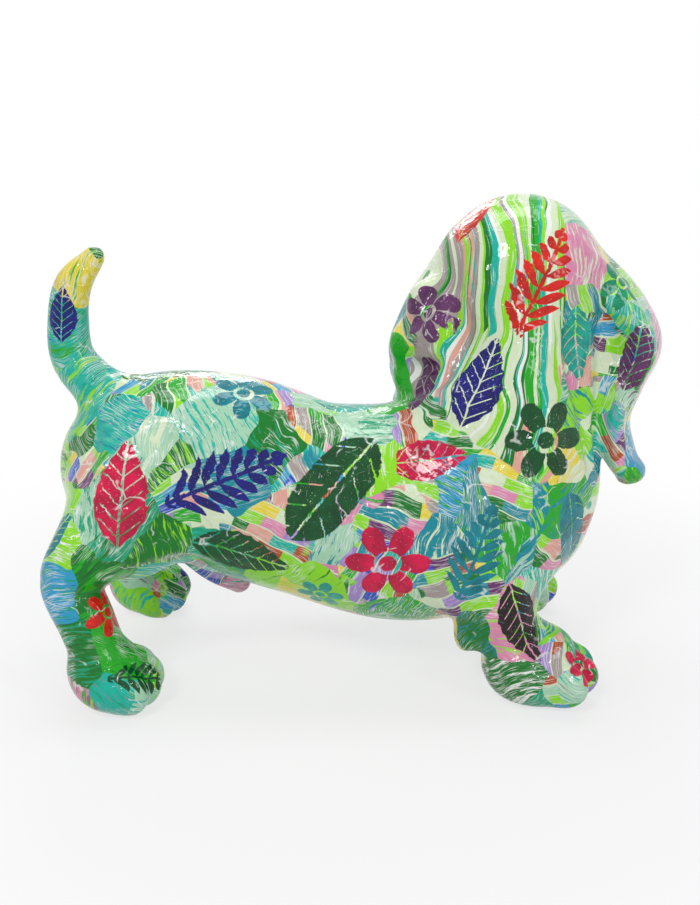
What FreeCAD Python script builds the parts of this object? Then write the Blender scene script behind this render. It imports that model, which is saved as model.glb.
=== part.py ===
"""Standing basset hound figurine, life-like pose with the head turned to its left.

Hollow slip-cast trunk, head and legs, pressed ears, a rolled tail, and felt pads under the paws.
Millimetres, +Z up, +X towards the chest, +Y to the dog's left. The origin is the middle of the
figure's box, on the surface that it stands on.
"""
import FreeCAD, Part
import math
import os

V = FreeCAD.Vector

# ---- how the smooth solids are drawn ---------------------------------------------------------
RING_POINTS = 12                                                # control points round a section
RING_FULLNESS = (2 + math.cos(2 * math.pi / RING_POINTS)) / 3   # spline radius over control radius
DOME_DEGREES = (25.0, 50.0, 70.0, 84.0)                         # levels of a rounded end

# ---- the whole figure: the places below are counted from these --------------------------------
BODY_LENGTH = 200.0         # from the hips to the shoulders
BODY_BREADTH = 100.0        # of the trunk, about its widest
HIP_HEIGHT = 100.0          # of the hips above the ground
HIPS = -BODY_LENGTH / 2     # where the hind parts are counted from, along X
SHOULDERS = BODY_LENGTH / 2     # where the front parts are counted from, along X

# ---- castings -------------------------------------------------------------------------------
WALL = 5.0                  # wall of the trunk, the head and the legs
BELLY_VENT_RADIUS = 4.0     # hole that lets the air out in the kiln
BELLY_VENT_SHARE = -0.1     # its place along the body
LEG_VENT_RADIUS = 3.0       # hole from each leg's hollow into the trunk

# ---- felt pads ------------------------------------------------------------------------------
PAD_THICKNESS = 1.5
PAD_RADIUS = 9.0

# ---- trunk, rump to chest: (share of the length, centre above the hips, half breadth as a share of
# the breadth, half depth) ---------------------------------------------------------------------
RUMP_DOME = 35.0
CHEST_DOME = 23.0
TRUNK_STATIONS = [
    (-0.565, 3.0, 0.36, 40.0),
    (-0.475, 7.5, 0.435, 47.0),
    (-0.300, 0.5, 0.45, 52.5),
    (-0.100, -12.5, 0.49, 51.5),
    (0.110, -20.0, 0.52, 57.0),
    (0.270, -20.0, 0.50, 54.0),
    (0.390, -14.0, 0.42, 44.0),
    (0.485, -8.0, 0.27, 33.0),
]
# small sheath below the belly: (from the hips, above the hips, radius)
SHEATH_STATIONS = [(10.0, -36.0, 8.0), (26.0, -51.0, 8.2), (40.0, -60.0, 6.5)]

# ---- neck and head: X from the shoulders and Z from the hips' height --------------------------
SKULL_PLACE = V(-15.5, 14.0, 99.5)
SKULL_CENTRE = V(SHOULDERS, 0, HIP_HEIGHT) + SKULL_PLACE
SKULL_HALF_WIDTH = 41.0
SKULL_HALF_LENGTH = 40.0
SKULL_HALF_HEIGHT = 41.8
SKULL_DEGREES = (-12.0, 10.0, 32.0, 52.0, 68.0, 84.0)           # levels of the skull's sections
# neck: (x, y, z, half width, half depth), from inside the chest up to the skull
BREAST_DOME = 44.0                  # its round lower end
NECK_STATIONS = [
    (-34.0, -2.0, -10.0, 59.0, 46.0),
    (-26.0, -2.0, 12.0, 54.0, 42.0),
    (-20.0, 2.0, 42.0, 42.0, 38.0),
    (-17.0, 8.0, 70.0, 37.0, 37.0),
]
NECK_OPENING_HALF_WIDTH = 30.0      # opening from the trunk's hollow into the neck
NECK_OPENING_HALF_DEPTH = 26.0
# muzzle: (distance ahead of the skull's centre, drop below it, half width, half height)
MUZZLE_STATIONS = [
    (6.0, 1.5, 27.0, 28.0),
    (30.0, 6.5, 22.0, 23.0),
    (48.0, 13.5, 18.0, 19.0),
    (64.0, 17.5, 16.0, 17.0),
]
MUZZLE_DOME = 13.0
FLEW_RADII = V(10.0, 24.0, 16.0)    # hanging upper lips
FLEW_SPREAD = 11.0
FLEW_PLACE = V(0.0, 48.0, -27.5)
NOSE_RADII = V(9.0, 8.0, 7.0)
NOSE_PLACE = V(0.0, 74.0, -8.5)
CHEEK_RADII = V(14.0, 20.0, 21.0)
CHEEK_SPREAD = 23.0
CHEEK_PLACE = V(0.0, 22.0, -15.0)
BROW_RADII = V(13.0, 11.0, 10.0)
BROW_SPREAD = 17.0
BROW_PLACE = V(0.0, 28.0, 13.0)

# ---- ears: (x, y, z, half width, half thickness), from the skull's middle, root to tip ---------
EAR_DOME = 5.0
RIGHT_EAR_ACROSS = V(0.45, 0.9, 0.0)
RIGHT_EAR_STATIONS = [
    (23.5, -6.0, 13.5, 18.0, 9.0),
    (39.0, -4.0, 5.5, 21.0, 9.0),
    (56.5, -3.0, -11.5, 26.0, 9.0),
    (64.5, -4.0, -32.5, 25.0, 9.0),
    (57.5, -8.0, -51.5, 22.0, 7.5),
    (52.0, -12.0, -70.5, 20.0, 6.0),
    (56.5, -16.0, -87.5, 15.0, 5.5),
    (63.5, -17.0, -95.5, 9.0, 4.5),
]
RIGHT_EAR_HOLLOW = (V(35.0, -12.0, -41.5), V(15.0, 9.0, 38.0))  # inner half of the flap
LEFT_EAR_ACROSS = V(-0.45, 0.9, 0.0)
LEFT_EAR_STATIONS = [
    (-22.5, -6.0, 11.5, 19.0, 10.0),
    (-35.5, -4.0, -1.5, 23.0, 9.5),
    (-44.5, -3.0, -17.5, 26.0, 9.0),
    (-50.0, -2.0, -36.5, 25.0, 9.0),
    (-49.5, 4.0, -52.5, 22.0, 8.0),
    (-48.5, 20.0, -67.5, 18.0, 6.5),
    (-51.5, 36.0, -81.5, 15.0, 5.5),
]
LEFT_EAR_HOLLOW = (V(-37.0, 4.0, -39.5), V(14.0, 9.0, 30.0))

# ---- tail: (from the hips, above the hips, half breadth, half depth), root to tip --------------
TAIL_DOME = 6.0
TAIL_STATIONS = [
    (-10.0, 32.0, 17.5, 15.0),
    (-27.5, 45.0, 14.0, 13.5),
    (-38.0, 62.0, 10.7, 11.0),
    (-39.0, 82.0, 9.7, 9.9),
    (-35.0, 99.0, 8.3, 8.8),
    (-25.0, 111.0, 5.2, 5.6),
]

# ---- legs, hip to ankle: (x from the hips or the shoulders, distance from the middle as a share of
# the breadth, height as a share of the hips' height, half breadth, half length) ------------------
ANKLE_DOME = 7.0
HIND_LEGS_ASIDE = -3.5              # the hind legs stand a little to the right of the middle
HIND_LEG_STATIONS = [
    (4.0, 0.24, 1.04, 14.0, 18.0),
    (-13.0, 0.33, 0.90, 17.0, 21.0),
    (-26.0, 0.41, 0.77, 17.0, 18.5),
    (-35.0, 0.45, 0.63, 16.0, 14.5),
    (-28.0, 0.49, 0.43, 14.5, 13.5),
    (-22.0, 0.51, 0.25, 14.5, 13.0),
]
THIGH_PLACE = (-8.0, 0.27, 0.93)
THIGH_RADII = V(31.0, 24.0, 38.0)
FRONT_LEG_STATIONS = [
    (-30.0, 0.30, 0.80, 18.0, 24.0),
    (-32.0, 0.34, 0.66, 20.0, 24.0),
    (-28.0, 0.40, 0.48, 19.0, 20.0),
    (-24.0, 0.42, 0.34, 17.0, 19.0),
    (-13.0, 0.43, 0.23, 17.0, 17.0),
]
SHOULDER_PLACE = (-34.0, 0.32, 0.80)
SHOULDER_RADII = V(36.0, 23.0, 43.0)

# ---- paws: (x from the hips or the shoulders, distance from the middle as a share of the breadth) ---
HIND_PAW_PLACE = (-17.0, 0.52)
HIND_PAW_CENTRE_HEIGHT = 14.0
HIND_PAW_RADII = V(23.0, 20.0, 17.0)
HIND_PAW_TURN = 8.0                 # degrees that the paw points outwards
FRONT_PAW_PLACE = (-8.0, 0.47)
FRONT_PAW_CENTRE_HEIGHT = 15.0
FRONT_PAW_RADII = V(25.0, 21.0, 19.0)
FRONT_PAW_TURN = 12.0
HIND_TOE_REACH = 6.0                # toes' centres ahead of the paw's centre
FRONT_TOE_REACH = 11.0
TOE_COUNT = 4
TOE_RADII = V(13.0, 6.8, 12.0)
TOE_SPREAD = 8.8                    # distance from toe to toe
TOE_FAN = 10.0                      # degrees from toe to toe
MIDDLE_TOE_LEAD = 6.0               # how far the middle toes stand ahead of the outer ones
TOE_DROP = 1.0                      # toes' centres below the paw's centre


def ring(centre, along, across, half_width, half_depth):
    """Control points of an elliptical ring about centre, square to along, half_width towards across."""
    side = across - along * across.dot(along)
    side.normalize()
    up = along.cross(side)
    points = []
    for index in range(RING_POINTS):
        angle = 2 * math.pi * index / RING_POINTS
        wide = side * (half_width / RING_FULLNESS * math.cos(angle))
        deep = up * (half_depth / RING_FULLNESS * math.sin(angle))
        points.append(centre + wide + deep)
    return points


def skin(rings):
    """Solid whose side is one cubic spline surface over the control rings, closed by a flat at each end."""
    rows = len(rings)
    poles = [[rings[row][column] for row in range(rows)] for column in range(RING_POINTS)]
    round_knots = [float(knot) for knot in range(RING_POINTS + 1)]
    long_knots = [float(knot) for knot in range(rows - 2)]
    surface = Part.BSplineSurface()
    surface.buildFromPolesMultsKnots(
        poles, [1] * len(round_knots), [4] + [1] * (rows - 4) + [4],
        round_knots, long_knots, True, False, 3, 3)
    side = surface.toShape()
    ends = [Part.Face(Part.Wire([edge])) for edge in side.Edges if edge.Closed]
    shell = Part.makeShell([side] + ends)
    shell.sewShape()
    return Part.Solid(shell)


def between(rows, index):
    """Station halfway along the smooth curve from one station to the next."""
    first = rows[max(index - 1, 0)]
    second = rows[index]
    third = rows[index + 1]
    fourth = rows[min(index + 2, len(rows) - 1)]
    return tuple(
        (b + c) * 0.5625 - (a + d) * 0.0625
        for a, b, c, d in zip(first, second, third, fourth))


def dome(row, along, length):
    """Shrinking stations that round off the end of a limb, listed from the limb outwards."""
    centre, half_width, half_depth = row
    rows = []
    for degrees in DOME_DEGREES:
        angle = math.radians(degrees)
        shrink = math.cos(angle)
        rows.append((centre + along * (length * math.sin(angle)), half_width * shrink, half_depth * shrink))
    return rows


def limb(stations, across, start_dome=0.0, end_dome=0.0):
    """Smooth solid through the stations (centre, half width, half depth), with optional round ends."""
    rows = []
    for index, station in enumerate(stations):
        rows.append(station)
        if index + 1 < len(stations):
            rows.append(between(stations, index))
    points = [row[0] for row in rows]
    alongs = []
    for index in range(len(rows)):
        ahead = points[min(index + 1, len(points) - 1)]
        behind = points[max(index - 1, 0)]
        alongs.append((ahead - behind).normalize())
    if start_dome:
        first = dome(rows[0], alongs[0] * -1, start_dome)
        rows = first[::-1] + rows
        alongs = [alongs[0]] * len(first) + alongs
    if end_dome:
        last = dome(rows[-1], alongs[-1], end_dome)
        rows = rows + last
        alongs = alongs + [alongs[-1]] * len(last)
    rings = []
    for (centre, half_width, half_depth), along in zip(rows, alongs):
        rings.append(ring(centre, along, across, half_width, half_depth))
    return skin(rings)


def inset(stations, wall):
    """The same stations one wall further in."""
    return [(centre, half_width - wall, half_depth - wall) for centre, half_width, half_depth in stations]


def ellipsoid(centre, radii, turn=0.0, pitch=0.0):
    """Ellipsoid about centre, pitched about Y and then turned about Z, in degrees."""
    ball = Part.makeSphere(1.0)
    stretch = FreeCAD.Matrix()
    stretch.scale(radii)
    ball = ball.transformGeometry(stretch)
    ball.rotate(V(0, 0, 0), V(0, 1, 0), pitch)
    ball.rotate(V(0, 0, 0), V(0, 0, 1), turn)
    ball.translate(centre)
    return ball


# ---- trunk ----------------------------------------------------------------------------------
def trunk_stations(wall=0.0):
    rows = []
    for along, rise, breadth, depth in TRUNK_STATIONS:
        rows.append((V(along * BODY_LENGTH, 0, HIP_HEIGHT + rise), breadth * BODY_BREADTH, depth))
    return inset(rows, wall)


def trunk_outer():
    return limb(trunk_stations(), V(0, 1, 0), RUMP_DOME, CHEST_DOME)


def trunk_hollow():
    return limb(trunk_stations(WALL), V(0, 1, 0), RUMP_DOME - WALL, CHEST_DOME - WALL)


def sheath():
    rows = [(V(HIPS + x, 0, HIP_HEIGHT + rise), radius, radius) for x, rise, radius in SHEATH_STATIONS]
    return limb(rows, V(0, 1, 0), 0.0, SHEATH_STATIONS[-1][2])


def belly_vent():
    foot = V(BELLY_VENT_SHARE * BODY_LENGTH, 0, 0)
    return Part.makeCylinder(BELLY_VENT_RADIUS, HIP_HEIGHT, foot, V(0, 0, 1))


# ---- head -----------------------------------------------------------------------------------
def skull_dome(wall):
    """Stations over the skull, from its widest level to the crown."""
    rows = []
    for degrees in SKULL_DEGREES:
        angle = math.radians(degrees)
        shrink = math.cos(angle)
        centre = SKULL_CENTRE + V(0, 0, (SKULL_HALF_HEIGHT - wall) * math.sin(angle))
        rows.append((centre, (SKULL_HALF_WIDTH - wall) * shrink, (SKULL_HALF_LENGTH - wall) * shrink))
    return rows


def neck_and_skull(wall=0.0):
    rows = []
    for x, y, rise, width, depth in NECK_STATIONS:
        rows.append((V(SHOULDERS + x, y, HIP_HEIGHT + rise), width - wall, depth - wall))
    if not wall:
        return limb(rows + skull_dome(wall), V(1, 0, 0), BREAST_DOME)
    opening = (rows[0][0], NECK_OPENING_HALF_WIDTH, NECK_OPENING_HALF_DEPTH)
    return limb([opening] + rows[2:] + skull_dome(wall), V(1, 0, 0))


def muzzle(wall=0.0):
    rows = []
    for ahead, drop, width, height in MUZZLE_STATIONS:
        rows.append((SKULL_CENTRE + V(0, ahead, -drop), width - wall, height - wall))
    return limb(rows, V(1, 0, 0), 0.0, MUZZLE_DOME - wall)


def head_outer():
    parts = [muzzle()]
    for side in (-1, 1):
        parts.append(ellipsoid(SKULL_CENTRE + FLEW_PLACE + V(side * FLEW_SPREAD, 0, 0), FLEW_RADII))
        parts.append(ellipsoid(SKULL_CENTRE + CHEEK_PLACE + V(side * CHEEK_SPREAD, 0, 0), CHEEK_RADII))
        parts.append(ellipsoid(SKULL_CENTRE + BROW_PLACE + V(side * BROW_SPREAD, 0, 0), BROW_RADII))
    parts.append(ellipsoid(SKULL_CENTRE + NOSE_PLACE, NOSE_RADII))
    return neck_and_skull().multiFuse(parts)


# ---- ears and tail --------------------------------------------------------------------------
def ear(stations, across, hollow):
    rows = [(SKULL_CENTRE + V(x, y, z), width, thickness) for x, y, z, width, thickness in stations]
    place, radii = hollow
    return limb(rows, across, 0.0, EAR_DOME).fuse(ellipsoid(SKULL_CENTRE + place, radii))


def tail_outer():
    rows = [(V(HIPS + x, 0, HIP_HEIGHT + rise), breadth, depth) for x, rise, breadth, depth in TAIL_STATIONS]
    return limb(rows, V(0, 1, 0), 0.0, TAIL_DOME)


# ---- legs -----------------------------------------------------------------------------------
class Corner:
    """Where one pair of legs belongs: where its X is counted from, and how far it stands aside."""

    def __init__(self, start, aside, stations, bulk, paw):
        self.start = start
        self.aside = aside
        self.stations = stations
        self.bulk_place, self.bulk_radii = bulk
        self.paw_place, self.paw_height, self.paw_radii, self.paw_turn, self.toe_reach = paw

    def point(self, x, breadth_share, height, side):
        return V(self.start + x, breadth_share * BODY_BREADTH * side + self.aside, height)

    def rows(self, side, wall=0.0):
        rows = []
        for x, breadth_share, height_share, breadth, length in self.stations:
            rows.append((self.point(x, breadth_share, height_share * HIP_HEIGHT, side), breadth, length))
        return inset(rows, wall)

    def bulk(self, side):
        x, breadth_share, height_share = self.bulk_place
        return ellipsoid(self.point(x, breadth_share, height_share * HIP_HEIGHT, side), self.bulk_radii)

    def paw_centre(self, side):
        return self.point(*self.paw_place, self.paw_height, side)


CORNERS = {
    "hind": Corner(
        HIPS, HIND_LEGS_ASIDE, HIND_LEG_STATIONS, (THIGH_PLACE, THIGH_RADII),
        (HIND_PAW_PLACE, HIND_PAW_CENTRE_HEIGHT, HIND_PAW_RADII, HIND_PAW_TURN, HIND_TOE_REACH)),
    "front": Corner(
        SHOULDERS, 0.0, FRONT_LEG_STATIONS, (SHOULDER_PLACE, SHOULDER_RADII),
        (FRONT_PAW_PLACE, FRONT_PAW_CENTRE_HEIGHT, FRONT_PAW_RADII, FRONT_PAW_TURN, FRONT_TOE_REACH)),
}


def toes(corner, side):
    """Toes fanned out across the front of a paw."""
    centre = corner.paw_centre(side)
    turn = corner.paw_turn
    frame = FreeCAD.Rotation(V(0, 0, 1), turn * side)
    solids = []
    for index in range(TOE_COUNT):
        step = index - (TOE_COUNT - 1) / 2.0
        lead = MIDDLE_TOE_LEAD if abs(step) < 1 else 0.0
        local = V(corner.toe_reach + lead, step * TOE_SPREAD, -TOE_DROP)
        place = centre + frame.multVec(local)
        solids.append(ellipsoid(place, TOE_RADII, turn * side + step * TOE_FAN))
    return solids


def leg(corner, side):
    """One leg casting: hip or shoulder bulk, leg, paw and toes, hollow inside and flat below."""
    place = corner.paw_centre(side)
    pieces = [corner.bulk(side), ellipsoid(place, corner.paw_radii, corner.paw_turn * side)]
    pieces += toes(corner, side)
    solid = limb(corner.rows(side), V(0, 1, 0), 0.0, ANKLE_DOME).multiFuse(pieces)
    solid = solid.cut(limb(corner.rows(side, WALL), V(0, 1, 0)))
    reach = BODY_BREADTH
    below = Part.makeBox(2 * reach, 2 * reach, reach, V(place.x - reach, place.y - reach, PAD_THICKNESS - reach))
    return solid.cut(below)


def leg_vent(corner, side):
    """Bore along the top of a leg's hollow, through the trunk's wall."""
    rows = corner.rows(side)
    start = rows[2][0]
    along = (rows[0][0] - start).normalize()
    reach = start.distanceToPoint(rows[0][0]) + WALL
    return Part.makeCylinder(LEG_VENT_RADIUS, reach, start, along)


def pad(corner, side):
    place = corner.paw_centre(side)
    return Part.makeCylinder(PAD_RADIUS, PAD_THICKNESS, V(place.x, place.y, 0))


# ---- assembly -------------------------------------------------------------------------------
def build():
    """All pieces by node name, in the figure's own layout."""
    nodes = {}
    trunk = trunk_outer().fuse(sheath())
    head = head_outer()
    neck_hollow = neck_and_skull(WALL)
    vents = [neck_hollow, belly_vent()]
    for end, corner in CORNERS.items():
        for name, side in (("left", 1), ("right", -1)):
            nodes[end + "_" + name + "_leg"] = leg(corner, side).cut(trunk).cut(head)
            nodes[end + "_" + name + "_pad"] = pad(corner, side)
            vents.append(leg_vent(corner, side))
    nodes["torso_shell"] = trunk.cut(trunk_hollow()).cut(vents)
    nodes["head_shell"] = head.cut(neck_hollow).cut(muzzle(WALL)).cut(trunk)
    right = ear(RIGHT_EAR_STATIONS, RIGHT_EAR_ACROSS, RIGHT_EAR_HOLLOW)
    nodes["right_ear"] = right.cut(head).cut(trunk)
    left = ear(LEFT_EAR_STATIONS, LEFT_EAR_ACROSS, LEFT_EAR_HOLLOW)
    nodes["left_ear"] = left.cut(head).cut(trunk)
    nodes["tail"] = tail_outer().cut(trunk)
    return nodes


def main():
    nodes = build()
    box = Part.makeCompound(list(nodes.values())).optimalBoundingBox()
    shift = V(-box.Center.x, -box.Center.y, 0)
    os.makedirs("parts", exist_ok=True)
    for name, shape in nodes.items():
        shape.translate(shift)
        print(name, len(shape.Solids), round(shape.Volume), shape.isValid())
        shape.exportStep("parts/" + name + ".step")
    print("shift", shift, "box", box)


main()
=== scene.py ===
"""Dresses the ceramic hound: one glazed, painted skin over the castings, felt under the paws, a stage.

The skin is worked out as clay in millimetres, in the figure's own layout, and then placed over the castings.
"""

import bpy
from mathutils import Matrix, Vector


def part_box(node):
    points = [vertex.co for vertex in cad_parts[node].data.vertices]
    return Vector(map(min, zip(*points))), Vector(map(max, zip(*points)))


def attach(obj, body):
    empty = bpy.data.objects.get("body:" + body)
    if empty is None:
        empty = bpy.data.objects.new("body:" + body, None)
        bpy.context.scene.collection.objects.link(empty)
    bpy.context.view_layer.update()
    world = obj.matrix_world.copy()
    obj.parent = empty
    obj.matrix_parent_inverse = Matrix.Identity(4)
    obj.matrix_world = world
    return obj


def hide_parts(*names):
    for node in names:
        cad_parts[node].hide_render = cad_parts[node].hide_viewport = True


bl_info = {
    "name": "Ceramic Hound",
    "version": (1, 0, 0),
    "blender": (4, 5, 0),
    "location": "View3D > Sidebar > Hound",
    "description": "Models and paints the glazed skin of a ceramic hound figurine and sets its stage",
    "category": "Object",
}

import math

import bpy
import numpy as np

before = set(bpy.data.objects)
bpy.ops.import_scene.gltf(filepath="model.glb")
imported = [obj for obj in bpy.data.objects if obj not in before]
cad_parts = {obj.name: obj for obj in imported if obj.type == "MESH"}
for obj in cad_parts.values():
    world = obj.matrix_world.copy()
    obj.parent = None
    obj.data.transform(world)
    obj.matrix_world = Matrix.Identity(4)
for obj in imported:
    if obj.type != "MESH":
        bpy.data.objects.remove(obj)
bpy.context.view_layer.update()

MM = 0.001
CASTINGS = ("torso_shell", "head_shell", "left_ear", "right_ear", "tail",
            "front_left_leg", "front_right_leg", "hind_left_leg", "hind_right_leg")
PADS = ("front_left_pad", "front_right_pad", "hind_left_pad", "hind_right_pad")
PAD_PLACE = (92.0, 47.0)        # the front left pad's middle in the figure's layout, mm
pad_low, pad_high = (np.array(corner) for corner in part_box("front_left_pad"))
LAYOUT_ORIGIN = np.append((pad_low + pad_high)[:2] / 2 - np.array(PAD_PLACE) * MM, 0.0)
SOLE = (pad_high[2] - pad_low[2]) / MM      # height of the soles, on top of the felt, mm

# ---- colours, as they look in daylight ----
PALETTE = {
    "cream": (0.86, 0.92, 0.78), "white": (0.95, 0.96, 0.94), "mist": (0.66, 0.84, 0.72),
    "taupe": (0.66, 0.61, 0.60), "mauve": (0.55, 0.45, 0.52), "lilac": (0.66, 0.54, 0.82),
    "pink": (0.88, 0.55, 0.70), "salmon": (0.90, 0.66, 0.60), "yellow": (0.93, 0.85, 0.25),
    "lime": (0.56, 0.88, 0.10), "leaf": (0.10, 0.68, 0.10), "green": (0.00, 0.48, 0.13),
    "bottle": (0.00, 0.34, 0.15), "jade": (0.02, 0.64, 0.46), "turquoise": (0.02, 0.72, 0.64),
    "teal": (0.00, 0.56, 0.62), "sky": (0.16, 0.62, 0.80), "blue": (0.10, 0.32, 0.78),
    "navy": (0.08, 0.08, 0.52), "purple": (0.42, 0.20, 0.42), "crimson": (0.90, 0.00, 0.30),
    "red": (0.93, 0.12, 0.05), "rust": (0.72, 0.30, 0.12), "umber": (0.14, 0.10, 0.09),
}


def linear(name):
    """Linear light of a colour of the palette: the usual display curve undone."""
    rgb = PALETTE[name]
    return tuple(c / 12.92 if c <= 0.04045 else ((c + 0.055) / 1.055) ** 2.4 for c in rgb) + (1.0,)


# ---- the figure's layout in millimetres, the same as the castings' ----
ACROSS_X = (1.0, 0.0, 0.0)
ACROSS_Y = (0.0, 1.0, 0.0)
TRUNK = [       # x, y, z, half breadth, half depth, rump to chest
    (-113, 0, 103, 36, 40), (-95, 0, 107.5, 43.5, 47), (-60, 0, 100.5, 45, 52.5), (-20, 0, 87.5, 49, 51.5),
    (22, 0, 80, 52, 57), (54, 0, 80, 50, 54), (78, 0, 86, 42, 44), (97, 0, 94, 27, 31)]
SKULL = (84.5, 14.0, 199.5)
SKULL_RADII = (41.0, 40.0, 41.8)
NECK = [(66, -2, 90, 57, 44), (74, -2, 112, 54, 42), (80, 2, 142, 42, 38), (83, 8, 170, 36, 36),
        (84, 14, 192, 34, 34)]
MUZZLE = [(84, 20, 198, 27, 28), (84, 44, 193, 22, 23), (84, 62, 186, 18, 19), (84, 78, 182, 16, 17)]
TAIL = [(-110, 0, 132, 20, 15), (-124.5, 0, 145, 14, 12.5), (-138, 0, 162, 10.7, 11),
        (-139, 0, 182, 9.7, 9.9), (-135, 0, 199, 8.3, 8.8), (-125, 0, 211, 5.2, 5.6)]
RIGHT_EAR = [(108, 8, 213, 18, 9), (121, 10, 204.5, 21, 9), (138, 11, 187, 26, 9), (148.5, 10, 167, 25, 9),
             (142, 6, 148, 22, 7.5), (136.5, 2, 129, 20, 6), (141, -2, 112, 15, 5.5), (148, -3, 104, 9, 4.5)]
LEFT_EAR = [(59, 8, 213, 19, 10), (50, 10, 198, 23, 9.5), (41.5, 11, 182, 26, 9), (34.5, 12, 163, 25, 9),
            (35, 18, 147, 22, 8), (36, 34, 132, 18, 6.5), (33, 50, 118, 15, 5.5)]
HIND_LEG = [(-115, 33, 91, 18, 22), (-126, 41, 77, 17, 18.5), (-135, 45, 63, 16, 14.5),
            (-128, 49, 43, 14.5, 13.5), (-122, 51, 25, 14.5, 13)]
HIND_ASIDE = {-1: (0.0, -3.5, 0.0), 1: (-3.0, -6.0, 0.0)}     # both hind legs stand a little to the right
FRONT_LEG = [(68, 34, 66, 20, 24), (72, 40, 48, 19, 20), (76, 42, 34, 17, 19), (87, 43, 23, 17, 17)]
SHEATH = [(-90, 0, 64, 8, 8), (-74, 0, 49, 8.5, 8), (-60, 0, 40, 6.5, 6.5)]
HIND_TOES = [(-110, 38, -12), (-105, 46, -4), (-105, 55, 6), (-109, 63, 16)]       # x, y, turn
FRONT_TOES = [(102, 34, -8), (109, 43, 4), (109, 52.5, 14), (102, 62, 24)]
TOE_GROOVE = [(-2, 24), (6, 20.5), (10.5, 13), (11.5, 4)]       # ahead and height, between two toes
CLAY_LOW, CLAY_HIGH = (-165, -84, -4), (172, 108, 250)          # corners of the block of clay
SOLE_ROUND = 1.5    # rounding of the soles' edges


# ---- clay ----
def dot(a, b):
    """Sum of the products of three and three numbers or arrays."""
    return a[0] * b[0] + a[1] * b[1] + a[2] * b[2]


def joined(a, b, soft):
    """Smooth union: the lower of two distances, and lower still where they differ by less than soft."""
    share = np.clip(0.5 + 0.5 * (b - a) / soft, 0, 1)
    return b + (a - b) * share - soft * share * (1 - share)


def unit(rows):
    """Each row scaled to length 1."""
    return rows / np.maximum(np.linalg.norm(rows, axis=1), 1e-9)[:, None]


def turned(tilt):
    """Rotation matrix of tilts about X, then Y, then Z, in degrees."""
    x, y, z = np.radians(tilt)
    about_x = np.array([[1, 0, 0], [0, np.cos(x), -np.sin(x)], [0, np.sin(x), np.cos(x)]])
    about_y = np.array([[np.cos(y), 0, np.sin(y)], [0, 1, 0], [-np.sin(y), 0, np.cos(y)]])
    about_z = np.array([[np.cos(z), -np.sin(z), 0], [np.sin(z), np.cos(z), 0], [0, 0, 1]])
    return about_z @ about_y @ about_x


def ellipsoid_distance(u, v, w, a, b, c):
    """About the distance to an ellipsoid of radii a, b, c: r * (r - 1) / |gradient|, r the scaled radius."""
    scaled = np.sqrt((u / a) ** 2 + (v / b) ** 2 + (w / c) ** 2)
    steep = np.sqrt((u / a ** 2) ** 2 + (v / b ** 2) ** 2 + (w / c ** 2) ** 2)
    return scaled * (scaled - 1) / np.maximum(steep, 1e-9)


def smooth_rows(rows, steps):
    """Rows of numbers, with steps on a Catmull-Rom curve from each row to the next."""
    rows = np.asarray(rows, float)
    ends = np.vstack([2 * rows[0] - rows[1], rows, 2 * rows[-1] - rows[-2]])
    t = (np.arange(steps) / steps)[None, :, None]
    a, b, c, d = (ends[i:len(rows) - 1 + i, None, :] for i in range(4))
    square = 2 * a - 5 * b + 4 * c - d
    cube = 3 * b - a - 3 * c + d
    curve = 0.5 * (2 * b + (c - a) * t + square * t ** 2 + cube * t ** 3)
    return np.vstack([curve.reshape(-1, rows.shape[1]), rows[-1:]])


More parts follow.
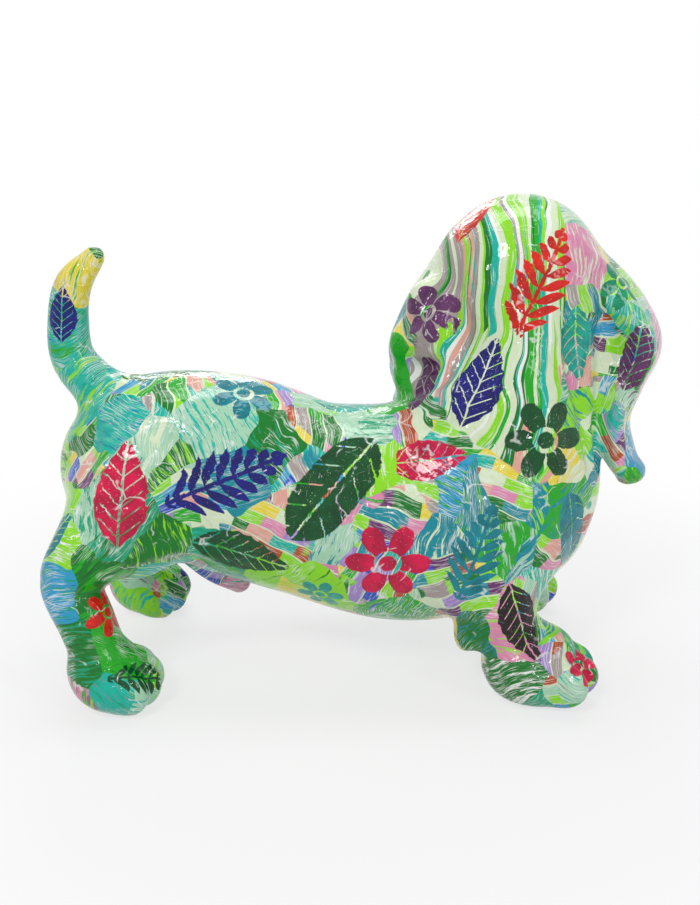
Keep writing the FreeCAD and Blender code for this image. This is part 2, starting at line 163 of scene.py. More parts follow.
class Clay:
    """A block of clay: a grid of distances to its surface in millimetres, negative inside."""

    FAR = 30.0

    def __init__(self, low, high, grain):
        self.low = np.array(low, float)
        self.grain = grain
        count = np.ceil((np.array(high) - self.low) / grain).astype(int) + 1
        self.lines = [(self.low[i] + grain * np.arange(count[i])).astype(np.float32) for i in range(3)]
        self.field = np.full(count, self.FAR, np.float32)

    def work(self, distance, low, high, soft, carve):
        """Adds the shape, or carves it out, where its own box and a margin reach."""
        margin = soft + 2.5 * self.grain
        first = np.floor((np.array(low) - margin - self.low) / self.grain).astype(int)
        last = np.ceil((np.array(high) + margin - self.low) / self.grain).astype(int) + 1
        first = np.clip(first, 0, np.array(self.field.shape) - 1)
        last = np.clip(last, first + 1, self.field.shape)
        part = tuple(slice(a, b) for a, b in zip(first, last))
        x, y, z = (self.lines[i][part[i]] for i in range(3))
        shape = distance(x[:, None, None], y[None, :, None], z[None, None, :]).astype(np.float32)
        if carve:
            self.field[part] = -joined(-self.field[part], shape, soft)
        else:
            self.field[part] = joined(self.field[part], shape, soft)

    def blob(self, centre, radii, soft, tilt=(0, 0, 0), carve=False):
        """An ellipsoid about centre, tilted."""
        centre = np.asarray(centre, float)
        turn = turned(tilt)
        reach = np.abs(turn) @ np.array(radii, float)

        def distance(x, y, z):
            offset = x - centre[0], y - centre[1], z - centre[2]
            return ellipsoid_distance(*(dot(offset, turn[:, i]) for i in range(3)), *radii)

        self.work(distance, centre - reach, centre + reach, soft, carve)

    def limb(self, stations, across, soft, ends=(None, None), steps=5, carve=False):
        """Elliptical sections carried along a smooth curve; ends are the lengths of its rounded ends."""
        rows = smooth_rows(stations, steps)
        centres, wide, deep = rows[:, :3], rows[:, 3], rows[:, 4]
        across = np.asarray(across, float)
        across = smooth_rows(across, steps) if across.ndim == 2 else np.tile(across, (len(rows), 1))
        last = len(rows) - 2

        def distance(x, y, z):
            nearest = None
            for index in range(last + 1):
                step = centres[index + 1] - centres[index]
                length = np.linalg.norm(step)
                along = step / length
                side = across[index] - across[index].dot(along) * along
                side = side / np.linalg.norm(side)
                up = np.cross(along, side)
                offset = x - centres[index, 0], y - centres[index, 1], z - centres[index, 2]
                far = dot(offset, along)
                share = np.clip(far / length, 0, 1)
                past = far - share * length
                a = wide[index] + (wide[index + 1] - wide[index]) * share
                b = deep[index] + (deep[index + 1] - deep[index]) * share
                c = np.minimum(a, b)
                if index == 0 and ends[0]:
                    c = np.where(past < 0, ends[0], c)
                if index == last and ends[1]:
                    c = np.where(past > 0, ends[1], c)
                piece = ellipsoid_distance(dot(offset, side), dot(offset, up), past, a, b, c)
                nearest = piece if nearest is None else np.minimum(nearest, piece)
            return nearest

        reach = np.maximum(wide, deep)[:, None]
        self.work(distance, (centres - reach).min(0), (centres + reach).max(0), soft, carve)

    def read(self, points):
        """The distance at points, each worked out from the eight grid points round it."""
        place = (points - self.low) / self.grain
        cell = np.clip(np.floor(place).astype(int), 0, np.array(self.field.shape) - 2)
        x, y, z = (place - cell).T
        total = 0
        for i, j, k in np.ndindex(2, 2, 2):
            weight = (x if i else 1 - x) * (y if j else 1 - y) * (z if k else 1 - z)
            total = total + weight * self.field[cell[:, 0] + i, cell[:, 1] + j, cell[:, 2] + k]
        return total

    def slope(self, points):
        """Gradient of the distance at points, from one grid step to each side."""
        steps = np.eye(3) * self.grain
        rises = [self.read(points + step) - self.read(points - step) for step in steps]
        return np.stack(rises, 1) / (2 * self.grain)

    def settle(self, points, rounds=12, longest=4.0):
        """Points moved down the slope of the distance, no more than longest a round, until they lie on the
        surface, with its normals."""
        points = np.array(points, float)
        for _ in range(rounds):
            slope = self.slope(points)
            steep = np.maximum((slope ** 2).sum(1), 0.05)
            move = slope * (self.read(points) / steep)[:, None]
            size = np.linalg.norm(move, axis=1)
            points = points - move * np.minimum(1, longest / np.maximum(size, 1e-9))[:, None]
        return points, unit(self.slope(points))

    def fold(self, path, radius, proud, soft, fade=1.0):
        """A round roll of skin laid along the surface near path, or, where proud is negative, a groove
        pressed into it. Its middle lies radius - proud below the surface, or above it for a groove, and
        proud falls to nothing at both ends as the sine of the way along."""
        carve = proud < 0
        line = smooth_rows(path, 4)
        line, normal = self.settle(line)
        way = np.linspace(0, math.pi, len(line))
        height = abs(proud) * np.sin(way) ** fade - 0.2 * radius * (1 - np.sin(way))
        depth = (radius - height)[:, None] * (1 if carve else -1)
        middle = line + normal * depth
        rows = np.column_stack([middle, np.full((len(line), 2), radius)])
        self.limb(rows, normal_to(middle), soft, steps=1, carve=carve)

    def skin(self):
        """Corners and four-sided faces of the surface: one corner in each grid cell that it crosses, at the
        mean of where it cuts the cell's edges, and one face round each grid edge that it cuts."""
        inside = self.field < 0
        sizes = self.field.shape
        corners = list(np.ndindex(2, 2, 2))
        parts = [inside[tuple(slice(c[i], sizes[i] - 1 + c[i]) for i in range(3))] for c in corners]
        held = sum(part.astype(np.int8) for part in parts)
        cut = (held > 0) & (held < 8)
        number = -np.ones(cut.shape, np.int64)
        cells = np.argwhere(cut)
        number[cut] = np.arange(len(cells))
        total = np.zeros((len(cells), 3))
        count = np.zeros(len(cells))
        for corner in corners:
            for axis in range(3):
                if corner[axis]:
                    continue
                near = self.field[tuple((cells + corner).T)]
                step = np.array(corner)
                step[axis] = 1
                far = self.field[tuple((cells + step).T)]
                crosses = (near < 0) != (far < 0)
                share = np.where(crosses, near / np.where(crosses, near - far, 1), 0)
                point = corner + share[:, None] * np.eye(3)[axis]
                total += point * crosses[:, None]
                count += crosses
        points = (cells + total / count[:, None]) * self.grain + self.low
        faces = []
        for axis in range(3):
            others = [i for i in range(3) if i != axis]
            here = [slice(1, n - 1) for n in sizes]
            here[axis] = slice(0, sizes[axis] - 1)
            there = list(here)
            there[axis] = slice(1, sizes[axis])
            crossed = inside[tuple(here)] != inside[tuple(there)]
            base = np.argwhere(crossed)
            base[:, others] += 1
            outward = inside[tuple(here)][crossed] != (axis == 1)
            ring = []
            for back in ((1, 1), (0, 1), (0, 0), (1, 0)):
                cell = base.copy()
                cell[:, others] -= back
                ring.append(number[tuple(cell.T)])
            ring = np.stack(ring, 1)
            faces.append(np.where(outward[:, None], ring, ring[:, ::-1]))
        return points, np.vstack(faces)


def normal_to(points):
    """For each point of a line, some direction square to the line there."""
    along = unit(np.gradient(points, axis=0))
    pick = np.eye(3)[np.argmin(np.abs(along), axis=1)]
    return unit(np.cross(along, pick))


def polished(clay, points, faces, rounds=4, share=0.6):
    """Corners moved by that share towards their neighbours' mean, and back onto the surface, each round."""
    pairs = np.vstack([faces[:, [i, (i + 1) % 4]] for i in range(4)])
    pairs = np.vstack([pairs, pairs[:, ::-1]])
    degree = np.bincount(pairs[:, 0], minlength=len(points))
    for _ in range(rounds):
        mean = np.stack([np.bincount(pairs[:, 0], points[pairs[:, 1], i], len(points)) for i in range(3)], 1)
        points = points + share * (mean / degree[:, None] - points)
        slope = clay.slope(points)
        steep = np.maximum((slope ** 2).sum(1), 0.2)
        points = points - slope * (clay.read(points) / steep)[:, None]
    return points


def side_of(point, side, aside=(0.0, 0.0, 0.0)):
    """A place given for the left side, on the left (1) or the right (-1), moved aside."""
    return np.array((point[0], point[1] * side, point[2]), float) + aside


def mirrored(stations, side, aside=(0.0, 0.0, 0.0)):
    """A limb's stations, given for the left side, on either side."""
    return [(*side_of((x, y, z), side, aside), a, b) for x, y, z, a, b in stations]


def model_trunk(clay):
    """Barrel of the body, chest and neck in one, with the tail and the sheath."""
    clay.limb(TRUNK, ACROSS_Y, 0.01, ends=(35, 23), steps=12)
    clay.limb(NECK, ACROSS_X, 14, steps=10)
    clay.limb(TAIL, ACROSS_Y, 10, ends=(None, 7), steps=10)
    clay.limb(SHEATH, ACROSS_Y, 5, steps=8)


def model_leg(clay, side):
    """Thigh, shoulder, both legs and both paws of one side."""
    clay.blob(side_of((-108, 27, 93), side), (31, 24, 38), 10, (0, 10, 0))
    clay.blob(side_of((66, 32, 80), side), (34, 22, 42), 14, (0, -14, 0))
    aside = HIND_ASIDE[side]
    clay.limb(mirrored(HIND_LEG, side, aside), ACROSS_Y, 7, steps=8)
    clay.limb(mirrored(FRONT_LEG, side), ACROSS_Y, 9, steps=8)
    clay.blob(side_of((61, 42, 31), side), (9, 11, 10), 4)
    clay.blob(side_of((-114.5, 52, 14), side, aside), (22, 20, 15.5), 6, (0, 0, side * 8))
    clay.blob(side_of((-122.5, 50, 20), side, aside), (16, 16, 14), 6)
    clay.blob(side_of((92, 47, 14), side), (25, 21, 18), 6, (0, 0, side * 12))
    clay.blob(side_of((87, 45, 20), side), (18, 17, 17), 6)
    clay.blob(side_of((98, 47, 24), side), (14, 14, 13), 5)
    model_toes(clay, side)


def model_toes(clay, side):
    """Four upright ovals to a paw, with a groove between two that runs down from the knuckles."""
    for x, y, turn in HIND_TOES:
        clay.blob(side_of((x, y, 12), side, HIND_ASIDE[side]), (12, 6.5, 12), 3, (0, 0, side * turn))
    for x, y, turn in FRONT_TOES:
        clay.blob(side_of((x, y, 14.5), side), (14, 7, 12.5), 3, (0, 0, side * turn))
    for toes, aside, reach in ((HIND_TOES, HIND_ASIDE[side], 1.0), (FRONT_TOES, (0, 0, 0), 1.15)):
        for toe, neighbour in zip(toes, toes[1:]):
            x, y, turn = (np.array(toe) + neighbour) / 2
            turn = math.radians(turn)
            path = [(x + step * reach * math.cos(turn), y + step * reach * math.sin(turn), z * reach)
                    for step, z in TOE_GROOVE]
            clay.fold([side_of(point, side, aside) for point in path], 3.2, -2.4, 1.5, fade=0.3)


def model_head(clay):
    """Skull, muzzle, flews, jaw, nose, brows and cheeks."""
    x = SKULL[0]
    clay.blob(SKULL, SKULL_RADII, 12)
    clay.limb(MUZZLE, ACROSS_X, 8, steps=8)
    clay.blob((x, 28, 142), (15, 13, 27), 10)
    for side in (-1, 1):
        clay.blob((x + side * 12, 64, 172), (9.5, 25, 17), 6, (8, 0, 0))
        clay.blob((x + side * 17, 42, 213), (12, 9, 8), 9)
        clay.blob((x + side * 24, 38, 186), (10, 14, 15), 9)
    clay.blob((x, 62, 166), (10, 20, 8), 5)
    clay.blob((x, 87, 191), (9.5, 7.5, 7), 2.5)
    for side in (-1, 1):
        model_face(clay, side)
    clay.fold([(x, 95, 187), (x, 94, 181), (x, 91, 174)], 2.5, -1.4, 1.5)
    for rise in (0, 9):
        brow = [(x - 15, 44, 219 + rise), (x, 48 - rise / 2, 222 + rise), (x + 15, 44, 219 + rise)]
        clay.fold(brow, 4, -1.0, 3)


# Folds: path, radius, how proud, or how deep where negative, softness, and how slowly the ends fade.
FACE_FOLDS = [      # lids, lip line and the fold behind the lips, from the head's middle outwards
    ([(9, 51, 204), (13, 53, 209), (20, 52, 210), (26, 46, 206)], 3.2, 1.8, 1.5),
    ([(9, 51, 202), (13, 52, 196), (20, 50, 194), (26, 45, 199)], 3.2, 2.0, 1.5),
    ([(3, 92, 164), (12, 82, 160), (18, 64, 159), (17, 44, 166)], 3, -1.6, 1.5),
    ([(27, 40, 200), (31, 34, 188), (27, 38, 172), (22, 44, 164)], 4.5, -1.6, 3)]
EAR_FOLDS = [       # the right ear's rolled rim and folds, then the left ear's
    ([(104, -12, 224), (113, -12, 216), (126, -6, 207), (139, -8, 193), (149.5, -9, 177), (147, -12, 160),
      (140, -13, 146), (133, -12, 130), (137, -11, 115), (145, -9, 106)], 6, 2.8, 3, 0.5),
    ([(111, -15, 204), (116, -14, 188), (118, -14, 168), (119, -15, 148), (123, -13, 130)], 5.5, 2.4, 4),
    ([(136, -10, 152), (131, -12, 143), (126, -13, 128), (129, -12, 116)], 4.5, -1.8, 3),
    ([(44, 4, 204), (38, -6, 192), (34, -8, 182), (23, 6, 178)], 4.5, -2.0, 4),
    ([(23, 8, 160), (32, -6, 159), (42, -13, 160), (51, -16, 168)], 4.5, -1.8, 4),
    ([(52, -8, 208), (51, -14, 193), (54, -18, 178), (57, -20, 164)], 5, -2.4, 4),
    ([(47, -6, 200), (41, -12, 186), (42, -14, 172), (48, -16, 162)], 5, 1.8, 4)]
NAPE_FOLDS = [      # rolls over the withers, then the ridge, the crease and the cord of the nape
    ([(25, 6, 142), (33, -5, 148), (41, -13, 154), (47, -17, 161), (51, -16, 171)], 6, 4.0, 2.5),
    ([(19, -4, 137), (28, -12, 140), (38, -19, 144), (49, -24, 151), (57, -27, 160), (61, -26, 170)],
     6, 4.2, 2.5),
    ([(20, -19, 133), (32, -24, 135), (43, -27, 140), (53, -31, 146), (63, -33, 153), (69, -32, 164)],
     6, 4.0, 2.5),
    ([(24, -32, 128), (36, -35, 129), (48, -37, 133), (60, -39, 140), (69, -38, 150)], 6.5, 3.0, 3.5),
    ([(77, -27, 196), (78, -29, 178), (76, -32, 162), (71, -36, 147), (66, -42, 134)], 12, 3.0, 8),
    ([(100, -24, 202), (104, -23, 180), (107, -24, 160), (112, -24, 143), (116, -26, 126),
      (118, -27, 108)], 4.5, -3.8, 2.5, 0.6),
    ([(90, -34, 160), (93, -38, 142), (97, -40, 124), (101, -41, 106)], 8, 2.2, 6)]
SIDE_FOLDS = [      # flank, thigh, hip, tail root, elbow, shoulder and paw, given for the right side
    ([(-104, -54, 73), (-92, -48, 77), (-79, -42, 77), (-68, -38, 73), (-58, -34, 64)], 6, 3.0, 4),
    ([(-88, -36, 134), (-80, -44, 116), (-80, -46, 98), (-88, -46, 82)], 10, -2.4, 7),
    ([(-122, -24, 137), (-123, -38, 123), (-126, -46, 107), (-130, -52, 92)], 4.5, -2.2, 3),
    ([(-131, -14, 142), (-122, -16, 148), (-114, -13, 151), (-105, -7, 153)], 5, -2.0, 3),
    ([(78, -54, 88), (81, -55, 74), (86, -53, 60)], 6, -2.6, 4),
    ([(46, -50, 108), (43, -55, 88), (46, -53, 66), (52, -50, 50)], 9, -2.2, 6),
    ([(70, -40, 29), (76, -60, 31), (90, -58, 34), (100, -44, 33)], 5, -1.6, 3)]


def model_face(clay, side):
    """One eye in its drooping lids, a nostril, the lip line and the fold behind the lips."""
    def place(x, y, z):
        return SKULL[0] + side * x, y, z

    clay.blob(place(17, 54, 203), (9, 6, 7), 3, carve=True)
    clay.blob(place(17, 46.5, 203), (6.4, 6, 6.2), 0.8)
    clay.blob(place(4.6, 94.5, 190.5), (2.6, 3.5, 2.3), 1.0, carve=True)
    for path, *sizes in FACE_FOLDS:
        clay.fold([place(*point) for point in path], *sizes)


def model_ears(clay):
    """Both hanging ears, each a long flap with its hollow, its rolled rim and the folds that crumple it."""
    clay.limb(RIGHT_EAR, (0.45, 0.9, 0), 6, steps=14)
    clay.limb(LEFT_EAR, (-0.45, 0.9, 0), 6, steps=14)
    clay.blob((119, 2, 158), (15, 9, 38), 7, (0, -8, 0))
    clay.blob((47, 18, 160), (14, 9, 30), 7, (0, 8, 0))
    clay.blob((130, -19.5, 172), (12, 14, 22), 5, (0, -14, 0), carve=True)
    clay.blob((38, 3, 189), (10, 8, 12), 9)
    clay.blob((30, 7, 168), (10, 9, 12), 9)
    clay.blob((42, -4, 174), (12, 9, 15), 9)
    clay.blob((33, 8, 150), (10, 9, 9), 9)
    for fold in EAR_FOLDS:
        clay.fold(*fold)


def model_skin_folds(clay):
    """Loose skin: rolls over the withers, the ridge and crease of the nape, flank folds and leg creases."""
    for fold in NAPE_FOLDS:
        clay.fold(*fold)
    for side in (-1, 1):
        for path, *sizes in SIDE_FOLDS:
            clay.fold([(x, -y * side, z) for x, y, z in path], *sizes)
        low = side * 48.5 + HIND_ASIDE[side][1] / 2
        clay.fold([(-147, low, 66), (-137, low + side * 14, 65), (-124, low + side * 15, 62),
                   (-115, low, 60)], 4, -1.5, 2)


def hound(grain):
    """The whole figure in clay, standing flat on its soles."""
    clay = Clay(CLAY_LOW, CLAY_HIGH, grain)
    model_trunk(clay)
    model_head(clay)
    for side in (-1, 1):
        model_leg(clay, side)
    model_ears(clay)
    model_skin_folds(clay)
    floor = (SOLE - clay.lines[2])[None, None, :]
    clay.field = -joined(-clay.field, -np.broadcast_to(floor, clay.field.shape), SOLE_ROUND)
    return clay


# ---- paint ----
def operation(name):
    """A method that adds a Math node of that operation, on the value and the others given."""
    return lambda value, *others: value.made(name, *others)


class Value:
    """A number or colour inside a material; its operators add the nodes that work it out."""

    def __init__(self, paint, socket):
        self.paint = paint
        self.socket = socket

    def made(self, name, *others):
        inputs = dict(enumerate((self,) + others))
        return self.paint.add("ShaderNodeMath", {"operation": name}, inputs)

    __add__ = __radd__ = operation("ADD")
    __mul__ = __rmul__ = operation("MULTIPLY")
    __sub__ = operation("SUBTRACT")
    __truediv__ = operation("DIVIDE")
    __abs__ = operation("ABSOLUTE")
    fract = operation("FRACT")
    floor = operation("FLOOR")
    sin = operation("SINE")
    cos = operation("COSINE")
    root = operation("SQRT")
    power = operation("POWER")
    angle = operation("ARCTAN2")
    least = operation("MINIMUM")
    most = operation("MAXIMUM")

    def __rsub__(self, other):
        return self.paint.add("ShaderNodeMath", {"operation": "SUBTRACT"}, {0: other, 1: self})

    def above(self, edge, width):
        """0 below the edge and 1 above it, with a smooth step of that width."""
        settings = {"interpolation_type": "SMOOTHSTEP"}
        inputs = {"Value": self, "From Min": edge - width / 2, "From Max": edge + width / 2}
        return self.paint.add("ShaderNodeMapRange", settings, inputs)

    def below(self, edge, width):
        """1 below the edge and 0 above it."""
        return 1 - self.above(edge, width)


class Paint:
    """A material, or a world, under construction."""

    def __init__(self, owner):
        self.owner = owner
        owner.use_nodes = True
        self.tree = owner.node_tree
        self.tree.nodes.clear()

    def add(self, kind, settings=None, inputs=None, output=0):
        """A node of that kind: its settings first, a ramp's stops among them, then values and links."""
        node = self.tree.nodes.new(kind)
        for name, value in (settings or {}).items():
            if name == "stops":
                ramp = node.color_ramp
                while len(ramp.elements) < len(value):
                    ramp.elements.new(1.0)
                for element, (position, colour) in zip(ramp.elements, value):
                    element.position = position
                    element.color = colour
            elif name == "steps":
                node.color_ramp.interpolation = value
            else:
                setattr(node, name, value)
        for name, value in (inputs or {}).items():
            socket = node.inputs[name]
            if isinstance(value, Value):
                self.tree.links.new(value.socket, socket)
            else:
                socket.default_value = value
        return Value(self, node.outputs[output]) if node.outputs else None

    def places(self):
        """Object coordinates in millimetres."""
        return self.vector("SCALE", self.add("ShaderNodeTexCoord", output="Object"), Scale=1 / MM)

    def vector(self, operation, *vectors, output=0, **named):
        """The result of a Vector Math node of that operation."""
        inputs = {**dict(enumerate(vectors)), **named}
        return self.add("ShaderNodeVectorMath", {"operation": operation}, inputs, output)

    def joined(self, x, y, z):
        """A vector from three numbers."""
        return self.add("ShaderNodeCombineXYZ", inputs={0: x, 1: y, 2: z})

    def split(self, vector):
        """The three numbers of a vector or a colour."""
        node = self.add("ShaderNodeSeparateXYZ", inputs={0: vector}).socket.node
        return [Value(self, socket) for socket in node.outputs]

    def noise(self, vector, scale, detail=2.0, rough=0.5, colour=False):
        inputs = {"Vector": vector, "Scale": scale, "Detail": detail, "Roughness": rough}
        return self.add("ShaderNodeTexNoise", inputs=inputs, output=int(colour))

    def cells(self, vector, scale=1.0):
        """Three numbers from 0 to 1 that are the same all over one cell of a Voronoi pattern."""
        inputs = {"Vector": vector, "Scale": scale}
        return self.split(self.add("ShaderNodeTexVoronoi", inputs=inputs, output="Color"))

    def warped(self, place, scale, reach):
        """The place, moved by a noise of that scale, by half the reach in mm each way at most."""
        wander = self.vector("SUBTRACT", self.noise(place, scale, colour=True), (0.5, 0.5, 0.5))
        return self.vector("ADD", place, self.vector("SCALE", wander, Scale=reach))

    def mix(self, a, b, share):
        """Colour a, with colour b laid over it by that share."""
        return self.add("ShaderNodeMix", {"data_type": "RGBA"}, {0: share, 6: a, 7: b}, 2)

    def attribute(self, name, output):
        """What the mesh keeps under that name, as Fac, Vector or Color."""
        return self.add("ShaderNodeAttribute", {"attribute_name": name}, output=output)

    def chart(self, value, names):
        """Colour from a chart of equal fields, in the order named."""
        stops = [(index / len(names), linear(name)) for index, name in enumerate(names)]
        return self.add("ShaderNodeValToRGB", {"stops": stops, "steps": "CONSTANT"}, {"Fac": value})

    def shown(self):
        """1 on rays that go straight to the eye, by a mirror or through glass, and 0 on rays of light."""
        names = ("Is Camera Ray", "Is Glossy Ray", "Is Transmission Ray")
        straight, mirrored_ray, through = (self.add("ShaderNodeLightPath", output=name) for name in names)
        return straight.most(mirrored_ray).most(through)

    def finish(self, shader, kind="ShaderNodeOutputMaterial"):
        """Joins the shader to the output, and gives the finished material or world."""
        self.add(kind, inputs={"Surface": shader})
        return self.owner


# Sizes in the painted patterns, in millimetres.
PATCH_SIZE, PATCH_WARP = 27.0, 22.0
BRICK_LENGTH, BRICK_BREADTH = 13.0, 6.5
STROKE_SWAY = 9.0
STRIPE_SWAY = 26.0
PLEAT_SIZE, PLEAT_WARP = 17.0, 14.0
PATCHES = ("mist", "jade", "lime", "turquoise", "leaf", "teal", "mist", "green", "lime", "jade",
           "sky", "leaf", "turquoise", "pink", "leaf", "green", "mauve", "teal", "yellow", "cream")
STROKES = ("cream", "lime", "mist", "teal", "green", "jade", "lime", "white", "turquoise", "leaf",
           "cream", "lilac", "green", "mist")
DEEPS = ("green", "teal", "bottle", "purple", "green", "blue", "bottle", "mauve")
BRICKS = ("sky", "cream", "rust", "lilac", "taupe", "teal", "lime", "turquoise", "yellow", "mist", "green",
          "salmon", "blue", "lime", "purple", "leaf", "pink", "green")
FLOWS = ("taupe", "cream", "mist", "taupe", "lime", "cream", "taupe", "turquoise", "cream", "lime", "taupe",
         "green", "cream", "salmon", "taupe", "leaf")
THREADS = ("lime", "cream", "green", "cream", "turquoise", "white", "leaf", "sky", "white", "lime")


def painted_ground(paint, place):
    """Patches of brush strokes: one colour laid in strokes over another in each warped cell, rows of little
    bricks in some cells, and fine pale scratches over all; also gives the directions across and along."""
    pick, second, turn = paint.cells(paint.warped(place, 0.035, PATCH_WARP), 1 / PATCH_SIZE)
    x, y, z = paint.split(place)
    angle = turn * (2 * math.pi)
    sway = (paint.noise(place, 0.05, 1.0) - 0.5) * STROKE_SWAY
    across = x * angle.cos() + z * angle.sin() + y * 0.5 + sway
    along = z * angle.cos() - x * angle.sin() + y * 0.3
    strokes = paint.noise(paint.joined(across * 0.52, along * 0.055, turn * 40.0), 1.0, 4.0, 0.66)
    fine = paint.noise(paint.joined(across * 2.4, along * 0.12, turn * 90.0), 1.0, 2.0, 0.6)
    dry = paint.noise(place, 0.045, 2.0).above(0.50, 0.10)
    ground = paint.mix(paint.chart(pick, PATCHES), paint.chart(second, STROKES), strokes.above(0.56, 0.05))
    ground = paint.mix(ground, paint.chart((second * 7.0).fract(), DEEPS), strokes.below(0.36, 0.05) * 0.9)
    ground = paint.mix(ground, linear("white"), fine.above(0.56, 0.08) * dry * 0.62)

    row = (across / BRICK_BREADTH).floor()
    number = paint.joined((along / BRICK_LENGTH + row * 0.37).floor(), row, turn * 50.0)
    chance = paint.add("ShaderNodeTexWhiteNoise", inputs={"Vector": number}, output="Value")
    bricks = paint.mix(paint.chart(chance, BRICKS), linear("white"), fine.above(0.58, 0.08) * 0.55)
    joint = abs((across / BRICK_BREADTH).fract() - 0.5)
    bricks = paint.mix(bricks, linear("cream"), joint.above(0.45, 0.03))
    bricked = second.above(0.70, 0.01) * sway.above(-1.2, 0.3)
    return paint.mix(ground, bricks, bricked), across, along


def flowing_stripes(paint, place, ground):
    """Long stripes that run down the head and the neck: cells stretched along them, wide ones under thin."""
    z = paint.split(place)[2]
    run = paint.attribute("flow", "Fac") + (paint.noise(place, 0.020, 2.0, 0.4) - 0.5) * STRIPE_SWAY
    broad = paint.cells(paint.joined(run * 0.16, z * 0.008, 3.0))[0]
    narrow, chance = paint.cells(paint.joined(run * 0.55, z * 0.012, 9.0))[:2]
    fine = paint.noise(paint.joined(run * 1.6, z * 0.05, 5.0), 1.0, 2.0, 0.6)
    stripes = paint.mix(paint.chart(broad, FLOWS), paint.chart(narrow, THREADS), chance.above(0.58, 0.02))
    stripes = paint.mix(stripes, linear("white"), fine.above(0.62, 0.06) * 0.7)
    edge = paint.attribute("flow_share", "Fac") + (paint.noise(place, 0.05, 2.0) - 0.5) * 0.8
    return paint.mix(ground, stripes, edge.above(0.5, 0.06))


def leaf_shape(u, v):
    """1 inside a broad pointed leaf with thin open veins: half width (1 - v^2) * (0.48 - 0.14 * v)."""
    side = abs(u)
    width = (1 - v * v) * (0.48 - v * 0.14) + (v * 24.0).sin() * 0.014
    veins = ((v - side * 0.9) * 3.6).fract().above(0.10, 0.05)
    blade = (width - side).above(0.0, 0.02) * (veins + side.above(0.36, 0.04)).least(1.0)
    return blade * side.above(0.02, 0.015)


def frond_shape(u, v):
    """1 inside a stem and its pairs of narrow leaflets, which shorten towards the tip."""
    side = abs(u)
    reach = (1 - v * v) * (0.46 - v * 0.10) + 0.02
    share = side / reach
    slot = abs(((v - side * 0.75) * 4.4).fract() - 0.5)
    leaflet = ((share * math.pi).sin() * 0.46 - slot).above(0.02, 0.05) * share.below(1.0, 0.02)
    stem = side.below(0.035, 0.02)
    return leaflet.most(stem) * abs(v).below(0.97, 0.02)


def blossom_shape(u, v):
    """1 inside six round petals about an open ring and a dot: radius 0.95 * |cos(3 * angle)|^0.4."""
    radius = (u * u + v * v).root()
    turn = v.angle(u)
    petal = abs((turn * 3.0).cos()).power(0.4) * 0.95
    return (petal - radius).above(0.02, 0.03) * radius.above(0.30, 0.03) + radius.below(0.19, 0.03)


def feather_shape(u, v):
    """1 inside a feather: half width 0.44 * (1 - v^4), slit along both sides, about a clear quill."""
    side = abs(u)
    width = (1 - (v * v).power(2.0)) * 0.44
    slits = ((v * 2.6 + side * 1.8).fract() - 0.07).above(0.0, 0.04)
    vane = (width - side).above(0.0, 0.02) * (slits + side.below(0.14, 0.03)).least(1.0)
    return vane * side.above(0.018, 0.012)


def printed(paint, place, ground, across, along):
    """Lays the prints over the ground: each print's own place is kept at the corners within its reach."""
    u, v, kind = paint.split(paint.attribute("print_place", "Vector"))
    colour = paint.attribute("print_colour", "Color")
    near = paint.attribute("print_near", "Fac").above(0.985, 0.005)
    rough = (paint.noise(place, 0.35, 3.0, 0.6) - 0.5) * 0.08
    u = u + rough
    v = v + rough
    shape = 0
    for number, drawing in enumerate((leaf_shape, frond_shape, blossom_shape, feather_shape)):
        shape = drawing(u, v) * abs(kind - number).below(0.5, 0.1) + shape
    worn = paint.noise(paint.joined(across * 0.9, along * 0.2, 7.0), 1.0, 3.0, 0.6).below(0.74, 0.05)
    speckle = paint.noise(place, 1.4, 2.0, 0.6).below(0.70, 0.04)
    shade = paint.noise(place, 0.12, 3.0, 0.6)
    colour = paint.mix(colour, paint.vector("SCALE", colour, Scale=0.55), shade.above(0.5, 0.4))
    return paint.mix(ground, colour, near * shape * worn * speckle)


FACE_SPOTS = [      # colour, middle and radii of the ovals painted on the nose and the eyes
    ("umber", (SKULL[0], 92.0, 191.5), (11.0, 9.5, 8.6)),
    ("umber", (SKULL[0] - 17, 51.5, 203.0), (5.6, 5.6, 5.2)),
    ("umber", (SKULL[0] + 17, 51.5, 203.0), (5.6, 5.6, 5.2))]


def painted_face(paint, place, ground):
    """The nose and the eyes in dark glaze, where the place is less than an oval's radii from its middle."""
    for name, centre, radii in FACE_SPOTS:
        offset = paint.vector("SUBTRACT", place, tuple(centre + LAYOUT_ORIGIN / MM))
        share = paint.vector("LENGTH", paint.vector("DIVIDE", offset, radii), output="Value")
        ground = paint.mix(ground, linear(name), share.below(1.0, 0.06))
    return ground


